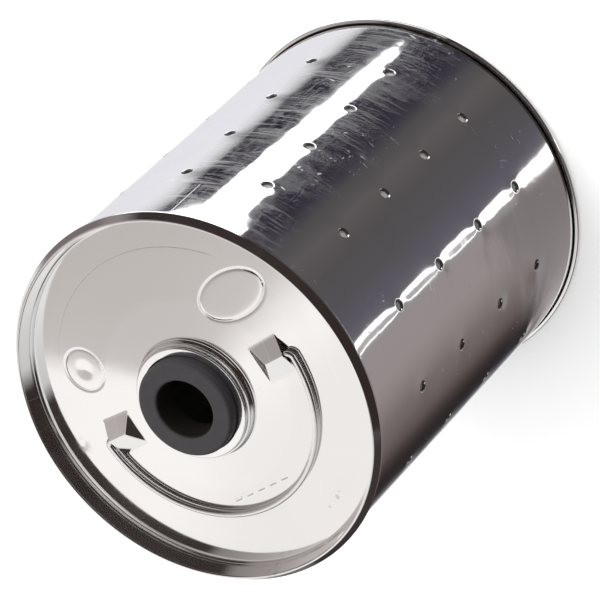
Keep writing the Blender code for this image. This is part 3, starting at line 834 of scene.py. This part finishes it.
def build_jacket():
    n = CELL_DIVS
    # lattice steps anticlockwise round a cell edge, from its low corner
    edge_steps = ([(k, 0) for k in range(n)] + [(n, k) for k in range(n)]
                  + [(n - k, n) for k in range(n)] + [(0, n - k) for k in range(n)])
    square = -1.0 + 2.0 * np.array(edge_steps) / n
    cell_edge = square * (CELL_W / 2, CELL_H / 2)
    circle = square / np.linalg.norm(square, axis=1)[:, None]

    cells_lo = HOLE_Z[0] - CELL_H / 2
    cells_hi = HOLE_Z[-1] + CELL_H / 2
    wall_lo, wall_hi = BEAD_BASE + WALL_END, BEAD_TOP - WALL_END
    first_cell_row = len(END_ROWS)
    last_cell_row = first_cell_row + len(HOLE_Z) * n
    lattice_z = (list(wall_lo + (cells_lo - wall_lo) * END_ROWS)
                 + [cells_lo + k * CELL_H / n for k in range(len(HOLE_Z) * n + 1)]
                 + list(cells_hi + (wall_hi - cells_hi) * (1 - END_ROWS[::-1])))
    points, normals, faces = [], [], []
    lattice = {}

    def add_vertex(around, z, rho=None, out=(0.0, 0.0), inset=0.0):
        """Wall vertex; rho and out are distance and direction from the hole centre."""
        azimuth = math.radians(HOLE_AZ0) + around / CAN_R
        e = 0.02
        slope = float(wall_radius(z + e) - wall_radius(z - e)) / (2 * e)
        rise, rise_slope = 0.0, 0.0
        if rho is not None:
            rise = float(hole_swell(rho))
            rise_slope = float(hole_swell(rho + 0.01) - hole_swell(rho - 0.01)) / 0.02
        radial = np.array((math.cos(azimuth), math.sin(azimuth), 0.0))
        tangent = np.array((-math.sin(azimuth), math.cos(azimuth), 0.0))
        up = np.array((0, 0, 1.0))
        points.append(radial * (float(wall_radius(z)) + rise - inset) + up * z)
        normal = radial - tangent * (rise_slope * out[0]) - up * (rise_slope * out[1] + slope)
        normals.append(normal / np.linalg.norm(normal))
        return len(points) - 1

    def lattice_vertex(i, j):
        """Shared vertex: i round the can, j up."""
        i = i % (HOLE_ROWS * n)
        if (i, j) not in lattice:
            lattice[(i, j)] = add_vertex(-CELL_W / 2 + i * (CELL_W / n), lattice_z[j])
        return lattice[(i, j)]

    def ring(offsets, around, z):
        loop = []
        for du, dz in offsets:
            rho = math.hypot(du, dz)
            loop.append(add_vertex(around + du, z + dz, rho, (du / rho, dz / rho)))
        return loop

    def lip_ring(around, z):
        """Turned-in lip of the hole; its normals face the hole centre."""
        azimuth = math.radians(HOLE_AZ0) + around / CAN_R
        tangent = np.array((-math.sin(azimuth), math.cos(azimuth), 0.0))
        loop = []
        for out in circle:
            du, dz = out * (HOLE_EDGE - 0.01)
            loop.append(add_vertex(around + du, z + dz, HOLE_EDGE, out, inset=0.22))
            normals[-1] = -(tangent * out[0] + np.array((0, 0, 1.0)) * out[1])
        return loop

    for column in range(HOLE_ROWS):
        for level, hole_z in enumerate(HOLE_Z):
            around = column * CELL_W
            cell_z = HOLE_Z[0] + level * CELL_H
            loops = [ring(circle * rho, around, hole_z) for rho in HOLE_RINGS]
            for t in RING_TO_CELL:
                loops.append(ring(circle * HOLE_RINGS[-1] * (1 - t) + cell_edge * t,
                                  around, hole_z * (1 - t) + cell_z * t))
            loops.append([lattice_vertex(column * n + i, first_cell_row + level * n + j)
                          for i, j in edge_steps])
            loops.insert(0, lip_ring(around, hole_z))
            for inner, outer in zip(loops, loops[1:]):
                faces.extend(bridge(inner, outer, flip=True))

    for rows in (range(first_cell_row), range(last_cell_row, len(lattice_z) - 1)):
        for j in rows:
            for i in range(HOLE_ROWS * n):
                faces.append((lattice_vertex(i, j), lattice_vertex(i + 1, j),
                              lattice_vertex(i + 1, j + 1), lattice_vertex(i, j + 1)))
    return make_mesh("jacket_perforated_sheet", points, faces, JACKET_TIN, normals=normals)


install(build_jacket(), "can", "outer_jacket")

# ================================================================= grommets
# r, z from the free face, fillet radius; closed loop.
GROMMET = [
    (7.30, -7.25, 0.0), (7.30, 0.0, 0.85), (12.30, 0.0, 0.95), (12.30, -3.60, 0.20),
    (13.70, -3.60, 0.35), (13.70, -7.25, 0.6), (7.30, -7.25, 0.0),
]
grommet_profile, grommet_normals = fillet(GROMMET, arc_step=12.0, max_len=0.9)
for end, face_z, up in (("handle_end", FACE_TOP, 1.0), ("base_end", FACE_BASE, -1.0)):
    grommet = revolve(f"grommet_{end}_moulding", grommet_profile, grommet_normals,
                      datum=face_z, up=up, segments=128, material=RUBBER)
    install(grommet, "can", f"{end}_grommet")

# ================================================================ bail wire
BAIL_R = 30.9                             # centre line of the half hoop
BAIL_BEND = 1.6                           # bend from each inward leg into the hoop
BAIL_TIP_X = 25.4                         # cut end of each leg
WIRE_R = 0.825
WIRE_SIDES = 20
# rings of a rounded cut end: share of the wire radius, distance past the end
WIRE_END_RINGS = ((0.85, 0.10), (0.55, 0.16))


def bail_path():
    """Centre line: leg on +X, half hoop through -Y, leg on -X."""
    bend_x = BAIL_R - BAIL_BEND
    leg = [(BAIL_TIP_X + (bend_x - BAIL_TIP_X) * t, 0.0, 0.0) for t in np.linspace(0, 1, 12)]
    for t in np.linspace(0, 1, 14)[1:]:
        angle = t * PI / 2
        leg.append((bend_x + BAIL_BEND * math.sin(angle),
                    -BAIL_BEND + BAIL_BEND * math.cos(angle), 0.0))
    start = math.asin((BAIL_BEND + 0.1) / BAIL_R)
    steps = 200
    hoop = []
    for i in range(steps + 1):
        angle = start + (PI - 2 * start) * i / steps
        hoop.append((BAIL_R * math.cos(angle), -BAIL_R * math.sin(angle), 0.0))
    path = np.array(leg + hoop + [(-x, y, z) for x, y, z in reversed(leg)])
    moved = np.linalg.norm(np.diff(path, axis=0), axis=1) > 1e-4
    return path[np.concatenate([[True], moved])]


def build_bail():
    path = bail_path()
    along = np.gradient(path, axis=0)
    along /= np.linalg.norm(along, axis=1)[:, None]
    up = np.array((0, 0, 1.0))
    across = np.cross(along, up)
    across /= np.linalg.norm(across, axis=1)[:, None]

    def spokes(i):
        return [across[i] * math.cos(TAU * k / WIRE_SIDES) + up * math.sin(TAU * k / WIRE_SIDES)
                for k in range(WIRE_SIDES)]

    points, normals = [], []
    for i, centre in enumerate(path):
        for spoke in spokes(i):
            points.append(centre + spoke * WIRE_R)
            normals.append(spoke)
    faces = grid_faces(len(path), WIRE_SIDES)
    for i, outward in ((0, -1.0), (len(path) - 1, 1.0)):
        previous = row_of(i, WIRE_SIDES)
        for share, beyond in WIRE_END_RINGS:
            ring = range(len(points), len(points) + WIRE_SIDES)
            for spoke in spokes(i):
                points.append(path[i] + spoke * WIRE_R * share + along[i] * outward * beyond)
                normal = spoke * 0.3 + along[i] * outward
                normals.append(normal / np.linalg.norm(normal))
            faces += bridge(previous, ring) if outward > 0 else bridge(ring, previous)
            previous = ring
        faces.append(tuple(previous) if outward > 0 else tuple(previous[::-1]))
    return make_mesh("bail_wire_formed", np.array(points) + up * PIVOT_Z, faces, WIRE,
                     normals=normals)


install(build_bail(), "bail", "bail_handle")

# ========================================================== pre-filter sleeve
FLEECE_R_OUT, FLEECE_R_IN = 46.55, 43.6
FLEECE_EDGE_R = FLEECE_R_OUT - 0.7        # outer corner of the two ends


def build_fleece(material):
    """Fleece sleeve pressed against the inside of the perforated wall."""
    segments, rows = 280, 112
    lo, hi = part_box("prefilter_felt")
    z_lo, z_hi = lo.z / MM, hi.z / MM
    angles = np.arange(segments) / segments * TAU
    angle, z = np.meshgrid(angles, np.linspace(z_lo + 0.5, z_hi - 0.5, rows))
    # two sizes of tuft
    fluff = (0.10 * np.sin(angle * 31 + 1.7 * np.sin(z * 0.21))
             * np.sin(z * 0.83 + 2.0 * np.sin(angle * 9))
             + 0.07 * np.sin(angle * 67 + z * 1.3) * np.sin(z * 1.9 - angle * 23))
    radius = FLEECE_R_OUT - 0.14 + fluff * 0.8
    points = [np.stack([radius * np.cos(angle), radius * np.sin(angle), z], -1).reshape(-1, 3)]
    # over the top, down the bore and out again at the bottom
    rings = ((FLEECE_EDGE_R, z_hi), (FLEECE_R_IN, z_hi),
             (FLEECE_R_IN, z_lo), (FLEECE_EDGE_R, z_lo))
    for r, ring_z in rings:
        points.append(np.stack([r * np.cos(angles), r * np.sin(angles),
                                np.full(segments, ring_z)], -1))
    total = rows + len(rings)
    faces = grid_faces(total, segments)
    faces += bridge(row_of(total - 1, segments), row_of(0, segments))
    return make_mesh("prefilter_fleece_sleeve", np.concatenate(points), faces, material,
                     sharp_angle=50.0)


FLEECE = grained("fin_fleece", dark=(0.59, 0.58, 0.56), light=(0.78, 0.77, 0.75),
                 roughness=0.97, scale=1.6, bump=0.9, bump_distance=0.0003)
install(build_fleece(FLEECE), "can", "prefilter_felt")


# ================================================ finishes of the other nodes
def refinish(node_materials, **finish):
    """Give each frame node its own material, all with the same finish."""
    for node, material_name in node_materials.items():
        materials = frame["nodes"][node].data.materials
        materials.clear()
        materials.append(grained(material_name, **finish))


def both_ends(piece, material_name):
    return {f"handle_end_{piece}": f"{material_name}_h",
            f"base_end_{piece}": f"{material_name}_b"}


LENGTHWISE = (1, 1, 0.1)                  # grain drawn out along Z

refinish(both_ends("seam_compound", "fin_compound"),
         dark=(0.06, 0.06, 0.055), light=(0.10, 0.10, 0.09), roughness=0.7)
refinish(both_ends("grommet_cup", "fin_cup"),
         dark=(0.42, 0.42, 0.44), light=(0.52, 0.52, 0.54), roughness=0.34,
         metallic=1.0, scale=0.5, bump=0.2, bump_distance=0.00003)
refinish({"centre_tube": "fin_tube"},
         dark=(0.20, 0.20, 0.165), light=(0.27, 0.27, 0.225), roughness=0.42,
         metallic=1.0, scale=0.5, bump=0.25, bump_distance=0.00004, stretch=LENGTHWISE)
refinish({"centre_tube_gauze": "fin_gauze"},
         dark=(0.30, 0.24, 0.10), light=(0.42, 0.34, 0.15), roughness=0.45,
         metallic=1.0, scale=2.5, bump=0.8, bump_distance=0.0002)
refinish({"pleated_paper_pack": "fin_paper"},
         dark=(0.56, 0.38, 0.15), light=(0.68, 0.50, 0.24), roughness=0.86,
         scale=0.9, bump=0.5, bump_distance=0.0002)
refinish({"pleat_clip": "fin_clip"},
         dark=(0.66, 0.67, 0.68), light=(0.74, 0.75, 0.76), roughness=0.36,
         metallic=1.0, scale=0.6, bump=0.2, bump_distance=0.00003, stretch=LENGTHWISE)
refinish({"pack_cord": "fin_cord"},
         dark=(0.62, 0.57, 0.47), light=(0.78, 0.74, 0.64), roughness=0.93,
         scale=2.2, bump=0.8, bump_distance=0.0002)
refinish(both_ends("card_disc", "fin_card"),
         dark=(0.36, 0.26, 0.16), light=(0.48, 0.36, 0.23), roughness=0.9,
         scale=0.7, bump=0.5, bump_distance=0.0001)
refinish(both_ends("potting", "fin_pot"),
         dark=(0.15, 0.05, 0.02), light=(0.25, 0.09, 0.04), roughness=0.5,
         scale=0.4, bump=0.3, bump_distance=0.0002)

# ================================================================== studio, m
FLOOR_R, FLOOR_SIDES = 6.0, 96
STUDIO_Z = 0.06                           # height the tent and key centre on
TENT_R, TENT_LAT, TENT_LON = 0.80, 48, 96
KEY_DIRECTION = Vector((-0.10, 0.78, 0.62)).normalized()
KEY_DISTANCE = 1.3

scene = bpy.context.scene
scene.view_settings.view_transform = "Standard"
scene.view_settings.look = "None"
scene.view_settings.exposure = 0.0
scene.view_settings.gamma = 1.0


def build_floor():
    """White disc seen by the camera but not by bounced light."""
    mesh = bpy.data.meshes.new("studio_floor")
    rim = [(FLOOR_R * math.cos(TAU * k / FLOOR_SIDES),
            FLOOR_R * math.sin(TAU * k / FLOOR_SIDES), 0.0) for k in range(FLOOR_SIDES)]
    mesh.from_pydata(rim, [], [tuple(range(FLOOR_SIDES))])
    floor = link_object("studio_floor", mesh)
    material, nodes, point = new_material("studio_floor_finish")
    mottle = nodes.noise(point, scale=3.0, detail=3.0)
    nodes.surface({
        "Base Color": nodes.mix(mottle, (0.93, 0.93, 0.93), (0.95, 0.95, 0.95)),
        "Roughness": 0.9,
        "Emission Color": (1.0, 1.0, 1.0, 1.0),
        "Emission Strength": 0.30,
        "Specular IOR Level": 0.0,
    })
    mesh.materials.append(material)
    floor.visible_glossy = False
    floor.visible_diffuse = False


def build_world():
    """White to the camera, a directional sky for everything else."""
    world = bpy.data.worlds.new("studio_world")
    scene.world = world
    world.use_nodes = True
    nodes = Nodes(world.node_tree)
    generated = nodes.node("ShaderNodeTexCoord", output="Generated")
    facing = nodes.vector("DOT_PRODUCT", nodes.vector("NORMALIZE", generated),
                          tuple(KEY_DIRECTION))
    sky = nodes.step(facing, 0.02, 0.58, below=0.05, above=1.55)
    camera_ray = nodes.node("ShaderNodeLightPath", output="Is Camera Ray")
    nodes.fill(world.node_tree.nodes["Background"], {
        "Color": (1.0, 1.0, 1.0),
        "Strength": nodes.blend(camera_ray, sky, 1.06),
    })


# ------------------------------------------------------------ reflection tent
# Its tones are rows of: azimuth in degrees, sRGB level, warmth.
# Boards and cloths below the shoulder, azimuth from -180.
RING = [
    (-180, 243, 0), (-171, 222, 0), (-165, 246, 0), (-160, 252, 0), (-156, 252, 0),
    (-151, 240, 0), (-147, 190, 0), (-143, 134, -1), (-139, 99, -2), (-134, 66, -2),
    (-129, 44, 0), (-121, 41, 2), (-115, 47, 3), (-107, 64, 4), (-99, 86, 5),
    (-90, 100, 5), (-80, 110, 5), (-68, 128, 5), (-56, 141, 4), (-40, 142, 4),
    (-31, 141, 2), (-26, 102, -3), (-16, 90, -4), (-4, 83, -1), (12, 80, 1),
    (28, 88, 2), (40, 76, 0), (47, 58, -4), (54, 46, -5), (104, 43, -5),
    (110, 56, -4), (114, 176, 0), (119, 212, -1), (126, 228, -2), (150, 225, -3),
    (166, 222, -2), (171, 226, -1), (180, 241, 0),
]
# A ramp holds 32 stops, so the ring is two overlapping ramps that swap at 60 degrees.
RING_FIRST, RING_SECOND = RING[:32], RING[26:]
# Pale edge low down, azimuth from -180.
LOW_EDGE = [
    (-165, 176, 3), (-140, 186, 3), (-125, 170, 3), (-110, 152, 3), (-96, 138, 3),
    (-84, 132, 3), (-70, 124, 3), (-56, 116, 3), (-36, 114, 3),
]
# Above the shoulder, azimuth from 0: grey before the slanting edge, pale after it.
UPPER_GREY = [
    (0, 42, 4), (100, 42, 4), (108, 128, 3), (140, 158, 4), (158, 177, 4),
    (174, 182, 4), (180, 188, 4), (187, 192, 3), (200, 222, 2), (294, 232, 1),
    (304, 42, 4), (360, 42, 4),
]
UPPER_PALE = [
    (0, 243, 2), (199, 243, 2), (206, 232, 2), (224, 234, 2), (240, 228, 1),
    (262, 214, 1), (288, 204, 1), (301, 42, 4), (360, 42, 4),
]
NARROW_LAMP, WIDE_LAMP = 1.9, 2.6         # brightness of the two lamps


def tone(level, warmth):
    """Linear colour that the bright sheet reflects at an sRGB level."""
    tint = (1.25, -0.35, -0.95) if warmth > 0 else (0.5, 0.75, -1.0)
    # mid tones lean slightly to pink
    lean = (0.8, -1.0, 0.2) if 30 < level < 165 else (0.0, 0.0, 0.0)
    colour = []
    for tint_part, lean_part in zip(tint, lean):
        value = level + tint_part * warmth + lean_part
        value = min(255.0, max(0.0, value)) / 255.0
        linear = value / 12.92 if value <= 0.04045 else ((value + 0.055) / 1.055) ** 2.4
        colour.append(linear / 0.9)       # the sheet reflects about 0.9
    return tuple(colour)


def stops(rows, start=0.0):
    """Ramp stops from tone rows whose azimuths begin at `start` degrees."""
    return [((azimuth - start) / 360.0, tone(level, warmth))
            for azimuth, level, warmth in rows]


def lower_tent(nodes, az, level):
    """Boards and cloths, the low pale edge and the narrow lamp."""
    def ring_ramp(rows):
        return nodes.ramp((az + 180.0) * (1.0 / 360.0), stops(rows, start=-180.0))

    colour = nodes.mix(nodes.step(az, 60.0, 61.0), ring_ramp(RING_FIRST),
                       ring_ramp(RING_SECOND))
    # the pale edge rises with azimuth
    low = (nodes.fall(level - (az + 140.0) * 0.33, 0.0, 16.0)
           * (nodes.step(az, -164.0, -144.0) * nodes.fall(az, -40.0, -34.0)))
    return nodes.mix(low * 0.92, colour, ring_ramp(LOW_EDGE))


def add_narrow_lamp(nodes, colour, az, elevation, level):
    """Upright lamp: solid low down, an outlined tube higher up."""
    lamp_start = -32.2 - nodes.step(level, 2.0, 24.0, below=3.2, above=0.0)
    lamp = (nodes.band(az, lamp_start, -25.2, soft=0.25)
            * nodes.fall(elevation, -40.0, -34.0))
    colour = nodes.mix(lamp, colour, NARROW_LAMP)
    core = nodes.band(az, -31.5, -28.2, soft=0.30) * nodes.step(level, 44.0, 53.0)
    return nodes.mix(core * 0.93, colour, tone(138, 2))


def upper_tent(nodes, az0, elevation):
    """Tones above the shoulder."""
    grey = nodes.ramp(az0 * (1.0 / 360.0), stops(UPPER_GREY))
    pale = nodes.ramp(az0 * (1.0 / 360.0), stops(UPPER_PALE))
    # the edge between them slants with elevation and softens high up
    edge = nodes.math("MINIMUM", 174.0 + (elevation - 29.0) * 0.68, 192.0)
    soft = 1.6 + nodes.max(elevation - 52.0, 0.0) * 0.4
    colour = nodes.mix(nodes.step(az0, edge - soft, edge + soft), grey, pale)
    colour = nodes.mix(nodes.step(elevation, 72.0, 86.0), colour, tone(226, 2))
    dark_side = (nodes.fall(elevation, 14.0, 22.0)
                 * nodes.band(az0, 228.0, 302.0, soft=7.0))
    return nodes.mix(dark_side, colour, tone(52, 3))


def wide_lamp(nodes, az, elevation, level):
    """Mask of the wide lamp: a wedge with its point down and wavy sides."""
    wobble = nodes.noise(nodes.xyz(level, 0.0, 0.0), scale=0.16)
    capped = nodes.math("MINIMUM", level, 112.0)
    # azimuths of the two sides, which spread with height and again near the top
    start = 79.8 - capped * 0.118 + swing(wobble, 3.0)
    start = start - nodes.step(level, 100.0, 122.0, above=6.0)
    start = start - nodes.step(elevation, -45.4, -26.0, above=7.0)
    end = 85.2 + capped * 0.080 + swing(wobble, 3.0)
    end = end + nodes.step(level, 106.0, 124.0, above=8.0)
    end = end + nodes.step(elevation, -45.2, -26.0, above=13.0)
    # both sides close in at the point
    tip = nodes.step(level, 2.0, 16.0, below=3.6, above=0.0)
    lamp = (nodes.step(az, start + tip - 0.3, start + tip + 0.3)
            * nodes.fall(az, end - tip - 0.3, end - tip + 0.3))
    return lamp * nodes.fall(elevation, -16.0, -9.0)


def tent_light(name):
    material = bpy.data.materials.new(name)
    material.use_nodes = True
    tree = material.node_tree
    tree.nodes.clear()
    output = tree.nodes.new("ShaderNodeOutputMaterial")
    emission = tree.nodes.new("ShaderNodeEmission")
    tree.links.new(emission.outputs[0], output.inputs["Surface"])
    nodes = Nodes(tree)
    point = nodes.node("ShaderNodeTexCoord", output="Object")
    direction = nodes.vector("NORMALIZE",
                             nodes.vector("SUBTRACT", point, (0.0, 0.0, STUDIO_Z)))
    x, y, z = nodes.split(direction)
    az = nodes.math("ARCTAN2", y, x) * DEG                  # -180 to 180
    az0 = nodes.math("FLOORED_MODULO", az, 360.0)           # 0 to 360
    elevation = nodes.math("ARCSINE", z) * DEG
    # height on the can, in mm, that mirrors this elevation to the camera
    level = (elevation + 54.3) * (1.0 / 0.081)

    colour = lower_tent(nodes, az, level)
    colour = add_narrow_lamp(nodes, colour, az, elevation, level)
    colour = nodes.mix(nodes.step(elevation, -24.0, -6.0), colour,
                       upper_tent(nodes, az0, elevation))
    # dim strip near the horizon
    strip = (nodes.band(elevation, -13.0, 12.0, soft=3.0)
             * nodes.band(az0, 116.0, 166.0, soft=5.0))
    colour = nodes.mix(strip * 0.92, colour, tone(104, 4))
    colour = nodes.mix(wide_lamp(nodes, az, elevation, level), colour, WIDE_LAMP)
    nodes.put(emission.inputs["Color"], colour)
    return material


def build_tent():
    """Sphere of painted light, seen only by shiny surfaces."""
    mesh = bpy.data.meshes.new("studio_tent")
    points = []
    for i in range(TENT_LAT + 1):
        polar = PI * i / TENT_LAT
        for k in range(TENT_LON):
            azimuth = TAU * k / TENT_LON
            points.append((TENT_R * math.sin(polar) * math.cos(azimuth),
                           TENT_R * math.sin(polar) * math.sin(azimuth),
                           TENT_R * math.cos(polar) + STUDIO_Z))
    mesh.from_pydata(points, [], grid_faces(TENT_LAT + 1, TENT_LON))
    mesh.shade_smooth()
    tent = link_object("studio_tent", mesh)
    material = tent_light("studio_tent_light")
    mesh.materials.append(material)
    try:
        material.cycles.emission_sampling = "NONE"
    except AttributeError:
        pass                              # Cycles settings are absent without its add-on
    tent.visible_camera = False
    tent.visible_diffuse = False
    tent.visible_shadow = False
    tent.visible_transmission = False


def build_key():
    """Soft key for the matt pieces and the floor."""
    light = bpy.data.lights.new("studio_key", "AREA")
    light.shape = "DISK"
    light.size = 0.9
    light.energy = 9.0
    key = link_object("studio_key", light)
    key.location = KEY_DIRECTION * KEY_DISTANCE
    key.rotation_mode = "QUATERNION"
    aim = Vector((0, 0, STUDIO_Z)) - Vector(key.location)
    key.rotation_quaternion = aim.to_track_quat("-Z", "Y")
    key.visible_glossy = False
    key.visible_camera = False


def build_camera():
    """Long lens looking down on the handle end from the +X side."""
    lens = bpy.data.cameras.new("camera")
    lens.sensor_width = 36.0
    lens.lens = 248.577
    lens.clip_start = 0.05
    lens.clip_end = 20.0
    camera = link_object("camera", lens)
    rotation = Matrix(((0.69847467, 0.35344861, 0.62225977),
                       (-0.55038017, 0.82106911, 0.15141727),
                       (-0.45740005, -0.44824057, 0.76802707)))
    # the height is measured from the base bead
    place = (0.622206, 0.150786, 0.826187 + BEAD_BASE * MM)
    camera.matrix_world = Matrix.Translation(place) @ rotation.to_4x4()
    scene.camera = camera


build_floor()
build_world()
build_tent()
build_key()
build_camera()
